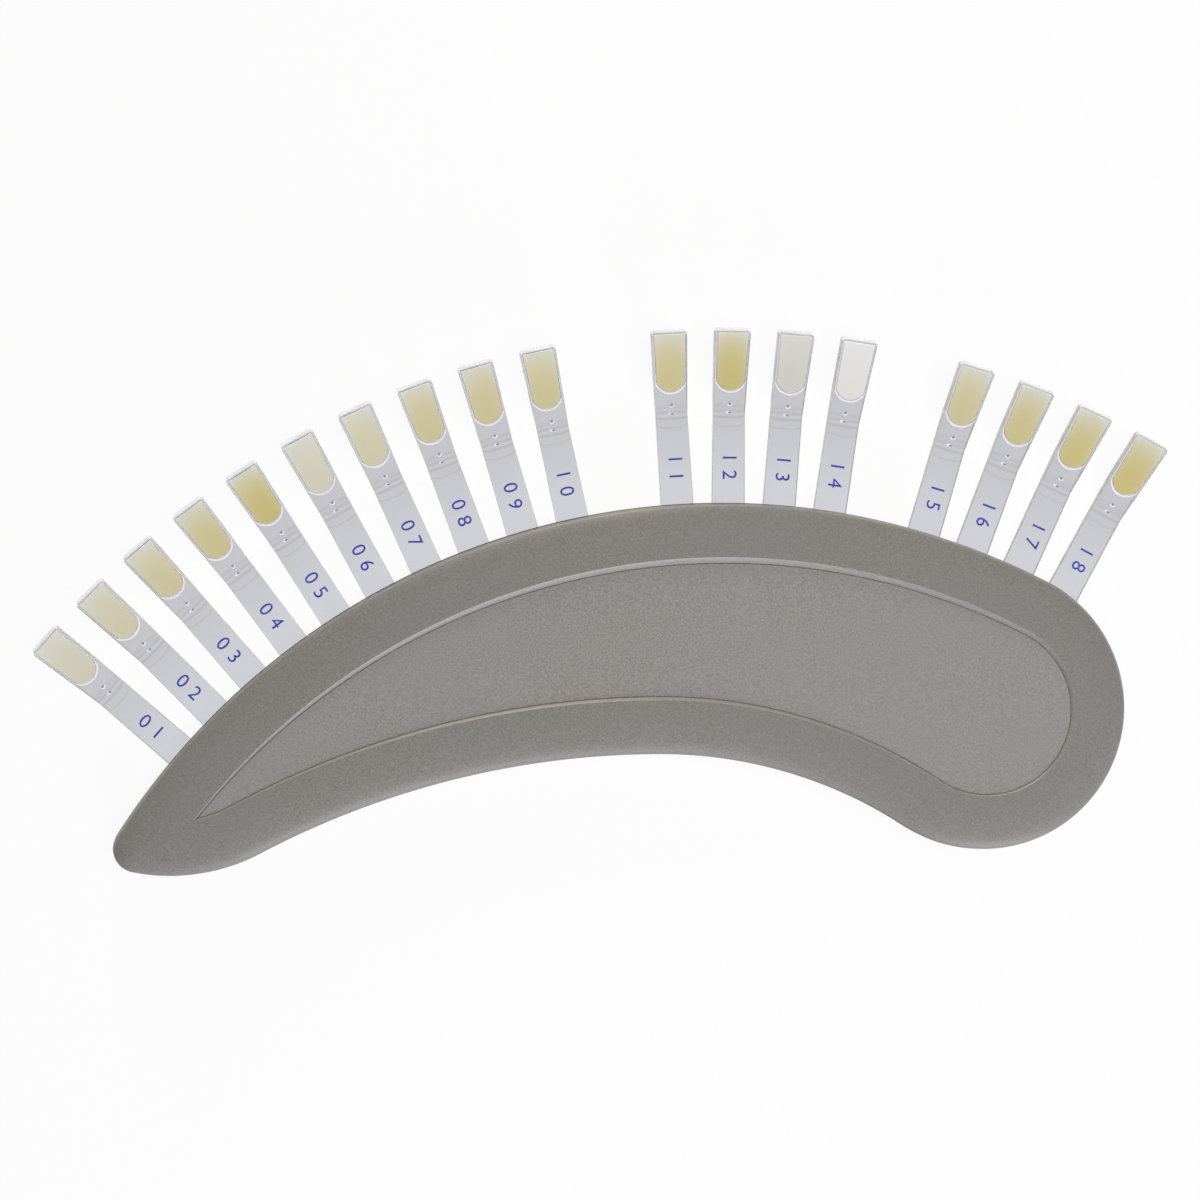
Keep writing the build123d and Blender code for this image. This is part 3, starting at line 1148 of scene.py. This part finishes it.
@dataclass
class Head:
    """The bent head of a stick, and the pocket in its front."""

    stem_top: float
    visible_length: float = 31.5 * MM
    bend_distance: float = 16.2 * MM
    tilt: float = 20.0
    thickness: float = 2.5 * MM
    sample_length: float = 10.6 * MM
    tip_width: float = 5.7 * MM
    root_width: float = 5.2 * MM
    rounding: float = 1.95 * MM
    tip_depth: float = 0.8 * MM
    root_depth: float = 1.9 * MM
    tip_wall: float = 0.35 * MM
    arc_steps: int = 28
    side_steps: int = 6

    @property
    def length(self) -> float:
        """Length of the head along its own front."""
        lean = self.thickness * sin(radians(self.tilt))
        return (self.visible_length - self.bend_distance - lean) / cos(radians(self.tilt))

    @property
    def plane(self) -> Matrix:
        """Matrix from the head's own frame, with its front at Z = 0, to the stick's frame."""
        origin = Vector((0, self.bend_distance, self.stem_top))
        return Matrix.Translation(origin) @ Matrix.Rotation(radians(self.tilt), 4, "X")

    def outline(self, gap: float, reach: float = 0.0) -> list[Vector]:
        """The sample's outline on the head's front, as points round it.

        Args:
            gap: how much smaller than the pocket.
            reach: how much further its root reaches towards the handle.

        Returns:
            The points, from the tip's left corner round the root.
        """
        tip = self.length - self.tip_wall - gap
        root = self.length - self.tip_wall - self.sample_length + gap - reach
        tip_half = self.tip_width / 2 - gap
        root_half = self.root_width / 2 - gap
        shoulder = root + self.rounding
        radius = (root_half**2 + self.rounding**2) / (2 * self.rounding)
        half_turn = atan2(root_half, radius - self.rounding)
        points = []
        for step in range(self.side_steps):
            share = step / self.side_steps
            half = tip_half + (root_half - tip_half) * share
            points.append(Vector((-half, tip + (shoulder - tip) * share, 0)))
        for step in range(self.arc_steps + 1):
            turn = -half_turn + 2 * half_turn * step / self.arc_steps
            points.append(Vector((radius * sin(turn), root + radius * (1 - cos(turn)), 0)))
        for point in list(reversed(points[: self.side_steps])):
            points.append(Vector((-point.x, point.y, 0)))
        return points

    def wedge(self, name: str, gap: float, lip: list[tuple[float, float, float]]) -> bpy.types.Object:
        """The wedge of the pocket, in the stick's frame.

        Args:
            name: name of the new object.
            gap: how much smaller than the pocket it is all round.
            lip: height, widening and reach of each ring above the wedge's floor.

        Returns:
            The wedge.
        """
        points = self.outline(gap)
        tip = points[0].y
        root = min(point.y for point in points)
        floor = []
        for point in points:
            share = (point.y - root) / (tip - root)
            depth = self.root_depth + (self.tip_depth - self.root_depth) * share - gap
            floor.append(Vector((point.x, point.y, -depth)))
        rings = [floor]
        for height, widening, reach in lip:
            ring = self.outline(gap - widening, reach)
            rings.append([Vector((point.x, min(point.y, tip), height)) for point in ring])
        return loft_rings(name, rings)


@dataclass(frozen=True)
class Mark:
    """A low round moulding mark on a head's front: a raised rim round a hollow.

    Its place is counted from the bend. Its rim is painted with a highlight on the side that the glint
    points to, across and along the head, and its hollow is painted with shade.
    """

    place: float
    half_width: float
    half_length: float
    hollow_share: float
    glint: tuple[float, float]
    height: float = 0.18 * MM
    rim_share: float = 0.1
    least_glint: float = 0.1
    steps: int = 24

    def rings(self) -> list[list[Vector]]:
        """The mark's rings, from its foot under the front over the rim and into the hollow."""
        profile = (
            (1.0, -1.0),
            (1.0, 0.3),
            (0.85, 1.0),
            (self.hollow_share + self.rim_share, 1.0),
            (self.hollow_share, 0.2),
        )
        rings = []
        for share, height_share in profile:
            ring = []
            for step in range(self.steps):
                turn = direction(360 * step / self.steps) * share
                along = self.place + turn.y * self.half_length
                ring.append(Vector((turn.x * self.half_width, along, height_share * self.height)))
            rings.append(ring)
        return rings

    def middle(self, face: bpy.types.MeshPolygon) -> Vector:
        """Where a face's middle lies in the mark, as shares of its half width and half length."""
        return Vector((face.center.x / self.half_width, (face.center.y - self.place) / self.half_length))

    def is_bright(self, face: bpy.types.MeshPolygon) -> bool:
        """Whether a face is on the part of the rim that is painted with a highlight."""
        return face.center.z > 0 and self.middle(face).dot(Vector(self.glint)) > self.least_glint

    def is_hollow(self, face: bpy.types.MeshPolygon) -> bool:
        """Whether a face is in the hollow or on its wall, which are painted with shade."""
        return face.center.z > 0 and self.middle(face).length < self.hollow_share + self.rim_share

    def build(self, plane: Matrix) -> bpy.types.Object:
        """The mark, sunk a little into the head, in the stick's frame.

        Args:
            plane: the matrix from the head's front to the stick's frame.

        Returns:
            The mark.
        """
        mark = loft_rings("mark", self.rings())
        # Painted highlight on one side of the rim and painted shade in the hollow
        surface_where(mark, Surface.EDGE, self.is_bright)
        surface_where(mark, Surface.MARK, self.is_hollow)
        mark.data.transform(plane)
        return mark


PIP = Mark(
    place=2.0 * MM,
    half_width=0.54 * MM,
    half_length=0.54 * MM,
    hollow_share=0.35,
    glint=(0.2, -1.0),
)
GATE = Mark(
    place=0.35 * MM,
    half_width=0.75 * MM,
    half_length=0.3 * MM,
    hollow_share=0.3,
    glint=(-1.0, 0.0),
)


@dataclass
class ClearStick:
    """A clear stick in its own frame: tail in the handle, flat stem, bend and flared head."""

    fan: Fan
    head: Head
    neck_width: float = 5.7 * MM
    head_width: float = 6.5 * MM
    tail_chamfer: float = 0.8 * MM
    shoulder_length: float = 3.2 * MM
    shoulder_run: float = 1.0 * MM
    bend_fillet: float = 1.2 * MM
    fillet_steps: int = 5
    corner_round: float = 0.68 * MM
    corner_steps: int = 4
    edge_round: float = 0.13 * MM
    lip_depth: float = 0.14 * MM
    lip_line_depth: float = 0.06 * MM
    lip_line: tuple[float, float] = (0.05 * MM, 0.12 * MM)
    lip_mouth: tuple[float, float] = (0.16 * MM, 0.32 * MM)
    marks: tuple[Mark, ...] = (PIP, GATE)
    end_lean: float = 0.3
    front_lean: float = 0.5
    side_lean: float = 0.9
    rounding_angle: float = 25.0
    smooth_angle: float = 32.0

    @property
    def stem_back(self) -> float:
        """Height of the stem's back."""
        return self.fan.stem_top - self.fan.stem_thickness

    def half_width(self, y: float) -> float:
        """Half the stick's width at a distance from the rim."""
        stem = self.fan.stem_width
        bend = self.head.bend_distance
        if y <= 0:
            return stem / 2
        if y <= bend:
            return (stem + (self.neck_width - stem) * y / bend) / 2
        share = (y - bend) / (self.head.visible_length - bend)
        return (self.neck_width + (self.head_width - self.neck_width) * share) / 2

    def sections(self) -> list[list[Vector]]:
        """The four corners of each section, from the tail to the tip."""
        low = self.stem_back
        high = self.fan.stem_top
        tail = -self.fan.tail_length
        bend = self.head.bend_distance
        backs = [Vector((0, tail, low)), Vector((0, 0, low)), Vector((0, bend + self.shoulder_run, low))]
        fronts = [Vector((0, tail, high)), Vector((0, 0, high)), Vector((0, bend, high))]
        for along in (self.shoulder_length, self.head.length):
            backs.append(self.head.plane @ Vector((0, along, -self.head.thickness)))
            fronts.append(self.head.plane @ Vector((0, along, 0)))
        rings = []
        for back, front in zip(backs, fronts):
            back_half = Vector((self.half_width(back.y), 0, 0))
            front_half = Vector((self.half_width(front.y), 0, 0))
            rings.append([back - back_half, back + back_half, front + front_half, front - front_half])
        return rings

    def is_bend(self, edge: bmesh.types.BMEdge) -> bool:
        """Whether an edge runs across the stick at the bend or at the heel behind it."""
        start, end = (vertex.co for vertex in edge.verts)
        bend = Vector((0, self.head.bend_distance, self.fan.stem_top))
        heel = Vector((0, self.head.bend_distance + self.shoulder_run, self.stem_back))
        for line in (bend, heel):
            if all((point.yz - line.yz).length < EDGE_TOLERANCE for point in (start, end)):
                return True
        return False

    def is_corner(self, edge: bmesh.types.BMEdge, low: float, high: float) -> bool:
        """Whether an edge is an upright corner of the stick.

        Args:
            edge: the edge.
            low: least distance of its ends from the rim.
            high: greatest distance of its ends from the rim.

        Returns:
            Whether it is one.
        """
        start, end = (vertex.co for vertex in edge.verts)
        upright = abs(start.x - end.x) < EDGE_TOLERANCE
        return upright and low < min(start.y, end.y) and max(start.y, end.y) < high

    def blank(self) -> bpy.types.Object:
        """The stick as one bar, extruded from section to section, with its bends and corners rounded."""
        stick = loft_rings("clear_stick", self.sections())
        bend_run = 2 * self.bend_fillet * tan(radians(self.head.tilt / 2))
        near_tip = self.head.visible_length - self.head.thickness
        tail_end = EDGE_TOLERANCE - self.fan.tail_length
        with editing(stick, "EDGE"):
            select_edges(stick, self.is_bend)
            bpy.ops.mesh.bevel(offset=bend_run, segments=self.fillet_steps)
            select_edges(stick, lambda edge: self.is_corner(edge, near_tip, inf))
            bpy.ops.mesh.bevel(offset=self.corner_round, segments=self.corner_steps)
            select_edges(stick, lambda edge: self.is_corner(edge, -inf, tail_end))
            bpy.ops.mesh.bevel(offset=self.tail_chamfer, segments=1)
        return stick

    def is_end(self, face: bpy.types.MeshPolygon) -> bool:
        """Whether a face is on the end of the head, which gets the painted highlight."""
        normal = self.head.plane.to_3x3().transposed() @ face.normal
        return abs(normal.z) < self.front_lean and normal.y > self.end_lean

    def is_side(self, face: bpy.types.MeshPolygon) -> bool:
        """Whether a face is on a side of the stick, which is painted with shade."""
        return abs(face.normal.x) > self.side_lean

    def pocket(self) -> bpy.types.Object:
        """The space for the sample, whose mouth widens in a clear step and then in one painted with a
        highlight.
        """
        lip = [
            (-self.lip_depth, 0.0, 0.0),
            (-self.lip_line_depth, *self.lip_line),
            (0.0, *self.lip_mouth),
            (self.head.thickness, *self.lip_mouth),
        ]
        space = self.head.wedge("pocket", 0.0, lip)
        # Painted highlight on the narrow step of the pocket's mouth
        surface_where(space, Surface.EDGE, lambda face: -self.lip_line_depth < face.center.z < 0)
        space.data.transform(self.head.plane)
        return space

    def build(self, materials: list[bpy.types.Material]) -> bpy.types.Object:
        """The finished stick in its own frame.

        Args:
            materials: its materials, in the order of Surface.

        Returns:
            The stick.
        """
        stick = self.blank()
        dress(stick, *materials)
        round_edges(stick, self.edge_round, segments=2, angle=self.rounding_angle)
        # Painted shade on the sides of the stick
        surface_where(stick, Surface.SIDE, self.is_side)
        # Painted highlight on the end of the head
        surface_where(stick, Surface.EDGE, self.is_end)
        tools = [(self.pocket(), Cut.DIFFERENCE)]
        for mark in self.marks:
            tools.append((mark.build(self.head.plane), Cut.UNION))
        for tool, cut in tools:
            dress(tool, *materials)
            combine(stick, tool, cut)
        smooth(stick, self.smooth_angle)
        weigh_normals(stick)
        map_tab(stick, self.fan.stem_width / 2, 0.0, self.head.visible_length)
        return stick


@dataclass
class Sample:
    """A composite sample in the frame of its stick."""

    head: Head
    gap: float = 0.02 * MM
    recess: float = 0.05 * MM
    edge_round: float = 0.12 * MM
    smooth_angle: float = 40.0

    def build(self) -> bpy.types.Object:
        """The finished sample in its stick's frame."""
        piece = self.head.wedge("sample", self.gap, [(-self.recess, 0.0, 0.0)])
        piece.data.transform(self.head.plane)
        round_edges(piece, self.edge_round, segments=3, angle=self.smooth_angle)
        smooth(piece, self.smooth_angle)
        weigh_normals(piece)
        tip_along = self.head.length - self.head.tip_wall
        root = self.head.plane @ Vector((0, tip_along - self.head.sample_length, 0))
        tip = self.head.plane @ Vector((0, tip_along, 0))
        map_tab(piece, self.head.tip_width / 2, root.y, tip.y)
        return piece


@dataclass
class StemNumber:
    """A plain running number printed on a stem."""

    stem_top: float
    digit_height: float = 2.4 * MM
    digit_share: float = 0.66
    spacing: float = 1.7
    centre: float = 6.8 * MM
    ink_thickness: float = 0.01 * MM
    curve_steps: int = 8

    def build(self, number: int) -> bpy.types.Object:
        """The number's raised ink in its stick's frame, read from the head towards the handle.

        Args:
            number: the running number of the stick.

        Returns:
            The ink as a mesh.
        """
        digits = f"{number:02d}"
        text = add_new(bpy.ops.object.text_add, f"number_{digits}", location=(0, 0, 0))
        text.data.body = digits
        text.data.size = self.digit_height / self.digit_share
        text.data.space_character = self.spacing
        text.data.align_x = "CENTER"
        text.data.align_y = "CENTER"
        text.data.extrude = self.ink_thickness
        text.data.resolution_u = self.curve_steps
        bpy.ops.object.convert(target="MESH")
        turned = Matrix.Rotation(-pi / 2, 4, "Z")
        place = Matrix.Translation(Vector((0, self.centre, self.stem_top + self.ink_thickness)))
        text.data.transform(place @ turned)
        with editing(text):
            bpy.ops.mesh.select_all(action="SELECT")
            bpy.ops.mesh.remove_doubles(threshold=MERGE_DISTANCE)
        return text


# Brightness and yellowness of the composites, from the first tab to the last
SHADES = [
    Shade(212, 27),
    Shade(210, 37),
    Shade(207, 49),
    Shade(204, 60),
    Shade(200, 77),
    Shade(213, 26),
    Shade(210, 38),
    Shade(206, 54),
    Shade(205, 54),
    Shade(205, 55),
    Shade(204, 60),
    Shade(199, 77),
    Shade(209, 12),
    Shade(227, 7, pale=srgb(232, 232, 231)),
    Shade(204, 51),
    Shade(202, 60),
    Shade(201, 72),
    Shade(200, 76),
]


@dataclass
class Tabs:
    """All sticks with their samples and numbers, copied from one model of each."""

    fan: Fan
    hollow_painted_shade: tuple[float, ...] = srgb(84, 84, 86)
    side_painted_shade: tuple[float, ...] = srgb(206, 204, 198)
    side_painted_shade_lilac: tuple[float, ...] = srgb(190, 190, 192)

    def stick_finishes(self) -> list[bpy.types.Material]:
        """The stick's materials, in the order of Surface."""
        clear = ClearMoulding()
        end = PaintedLightClear()
        # Painted shade: a dark tint in the hollows of the moulding marks
        hollow = replace(
            clear, name="clear_moulding_painted_hollow_shade", tint=self.hollow_painted_shade, pale_tint=self.hollow_painted_shade
        )
        # Painted shade: the sides get a grey copy of the painted-highlight finish, without its glow
        side = replace(
            end, name="clear_moulding_painted_side_shade", white=self.side_painted_shade, lilac=self.side_painted_shade_lilac, glow=0.0
        )
        return [finish.make() for finish in (clear, end, hollow, side)]

    def copy(self, model: bpy.types.Object, name: str, place: Matrix) -> bpy.types.Object:
        """A copy of a model with its own mesh, moved to its place in the guide."""
        piece = model.copy()
        piece.data = model.data.copy()
        piece.name = name
        piece.data.name = name
        piece.data.transform(place)
        bpy.context.scene.collection.objects.link(piece)
        return piece

    def build(self, angles: list[float]) -> None:
        """Builds, dresses and places every tab.

        Args:
            angles: angles of the sticks, from the first to the last.
        """
        head = Head(self.fan.stem_top)
        stick_model = ClearStick(self.fan, head).build(self.stick_finishes())
        sample_model = Sample(head).build()
        printer = StemNumber(self.fan.stem_top)
        ink = BlueInk().make()
        for number, (angle, shade) in enumerate(zip(angles, SHADES, strict=True), start=1):
            body = f"tab_{number:02d}"
            place = self.fan.place(angle)
            stick = self.copy(stick_model, f"clear_stick_{number:02d}", place)
            stick.visible_shadow = False
            hand_over(stick, body, f"stick_{number:02d}")
            sample = self.copy(sample_model, f"composite_sample_{number:02d}", place)
            dress(sample, Composite(name=f"composite_{number:02d}", shade=shade).make())
            hand_over(sample, body, f"sample_{number:02d}")
            printed = printer.build(number)
            printed.data.transform(place)
            dress(printed, ink)
            hand_over(printed, body)
        for model in (stick_model, sample_model):
            bpy.data.objects.remove(model)


# The studio


@dataclass(frozen=True)
class Lamp:
    """A square soft lamp that points at the guide."""

    name: str
    place: tuple[float, float, float]
    size: float
    power: float
    colour: tuple[float, float, float] = (1, 1, 1)
    in_mirrors: bool = True

    def build(self) -> None:
        """Hangs the lamp in its place."""
        data = bpy.data.lights.new(self.name, "AREA")
        data.shape = "SQUARE"
        data.size = self.size
        data.energy = self.power
        data.color = self.colour
        lamp = bpy.data.objects.new(self.name, data)
        bpy.context.scene.collection.objects.link(lamp)
        lamp.location = self.place
        lamp.rotation_euler = (-lamp.location).to_track_quat("-Z", "Y").to_euler()
        lamp.visible_transmission = False
        lamp.visible_glossy = self.in_mirrors


# The frontal key lamp, a warm one behind the sticks and a cool one at the lower edge
LAMPS = [
    Lamp("key_lamp", (0.1, -0.03, 0.6), size=0.35, power=2.2, in_mirrors=False),
    Lamp("warm_rim_lamp", (-0.2, 0.98, 0.2), size=0.4, power=5.2, colour=(1.0, 0.95, 0.83)),
    Lamp("cool_fill_lamp", (0.3, -0.95, 0.25), size=0.5, power=6.8, colour=(0.94, 0.92, 1.0)),
]


@dataclass
class Studio:
    """Floor, backdrop, lights and camera."""

    view_width: float = 216 * MM
    view_centre: tuple[float, float] = (-22.35 * MM, 5.75 * MM)
    focus_height: float = 6.0 * MM
    distance: float = 400 * MM
    side_lean: float = 2.0
    shift: float = 0.05
    sensor: float = 36.0
    nearest: float = 0.01
    floor_size: float = 6.0
    floor_colour: tuple[float, ...] = (0.95, 0.95, 0.95, 1)
    floor_roughness: float = 0.9
    floor_shadow_share: float = 0.1
    surround: float = 0.15

    def show_white(self, nodes: Nodes) -> bpy.types.NodeSocket:
        """A mask of the rays that see the white background: camera, mirror and glass rays."""
        path = nodes.add("ShaderNodeLightPath")
        seen = nodes.math("MAXIMUM", path.outputs["Is Camera Ray"], path.outputs["Is Glossy Ray"])
        return nodes.math("MAXIMUM", seen, path.outputs["Is Transmission Ray"])

    def floor(self) -> None:
        """A white floor that keeps a faint shadow."""
        floor = add_new(bpy.ops.mesh.primitive_plane_add, "studio_floor", size=self.floor_size)
        material = bpy.data.materials.new("studio_floor_white")
        material.use_nodes = True
        nodes = Nodes(material.node_tree)
        shader = material.node_tree.nodes["Principled BSDF"]
        shader.inputs["Base Color"].default_value = self.floor_colour
        shader.inputs["Roughness"].default_value = self.floor_roughness
        shader.inputs["Specular IOR Level"].default_value = 0.0
        glow = nodes.add("ShaderNodeEmission")
        share = nodes.math("MULTIPLY", self.show_white(nodes), 1 - self.floor_shadow_share)
        mixed = nodes.blend(share, shader, glow)
        nodes.link(mixed, material.node_tree.nodes["Material Output"].inputs["Surface"])
        dress(floor, material)

    def backdrop(self) -> None:
        """A world that is white to look at and a plain soft light on the object."""
        world = bpy.data.worlds.new("studio_world")
        bpy.context.scene.world = world
        world.use_nodes = True
        nodes = Nodes(world.node_tree)
        soft = world.node_tree.nodes["Background"]
        soft.inputs["Color"].default_value = (1, 1, 1, 1)
        soft.inputs["Strength"].default_value = self.surround
        white = nodes.add("ShaderNodeBackground")
        mixed = nodes.blend(self.show_white(nodes), soft, white)
        nodes.link(mixed, world.node_tree.nodes["World Output"].inputs["Surface"])

    def camera(self) -> None:
        """The camera, straight over the face and a little to the left."""
        data = bpy.data.cameras.new("camera")
        data.sensor_width = self.sensor
        data.lens = self.sensor * self.distance / self.view_width
        data.shift_x = self.shift
        data.clip_start = self.nearest
        camera = bpy.data.objects.new("camera", data)
        bpy.context.scene.collection.objects.link(camera)
        lean = radians(self.side_lean)
        centre = Vector((*self.view_centre, self.focus_height))
        right = Vector((cos(lean), 0, sin(lean)))
        back = Vector((-sin(lean), 0, cos(lean)))
        camera.location = centre + back * self.distance - right * self.shift * self.view_width
        camera.rotation_euler = Matrix((right, Vector((0, 1, 0)), back)).transposed().to_euler()
        bpy.context.scene.camera = camera
        bpy.context.scene.view_settings.view_transform = "Standard"

    def build(self) -> None:
        """Sets up the whole studio."""
        self.floor()
        self.backdrop()
        for lamp in LAMPS:
            lamp.build()
        self.camera()


def stick_angles() -> list[float]:
    """Angles of the sticks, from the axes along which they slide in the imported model."""
    angles = []
    for joint in sorted(frame["joints"], key=lambda joint: joint["child"]):
        angles.append(angle_of(Vector(joint["axis"])))
    return angles


def main() -> None:
    """Builds the guide and its studio."""
    logging.basicConfig(level=logging.INFO, format="%(message)s")
    angles = stick_angles()
    fan = Fan()
    handle = Handle(fan, LeafOutline(fan))
    grey = GreyMoulding()
    panel = replace(
        grey,
        name="warm_grey_panel",
        dark=srgb(134, 131, 127),
        light=srgb(156, 153, 149),
        cool=srgb(146, 143, 147),
    )
    # Painted highlight: a lighter and smoother grey for the rim beside the sticks and the panel's walls
    edge = replace(
        panel,
        name="warm_grey_painted_highlight",
        dark=srgb(136, 133, 127),
        light=srgb(158, 155, 149),
        cool=srgb(149, 146, 150),
        roughness=0.34,
        bump_depth=0.006 * MM,
    )
    front = handle.build_front(angles, [grey, panel, edge])
    back = handle.build_back(angles, replace(grey, name="warm_grey_back"))
    for shell, node in ((front, "front_shell"), (back, "back_shell")):
        hand_over(shell, "handle", node)
    Tabs(fan).build(angles)
    Studio().build()


if __name__ == "__main__":
    main()
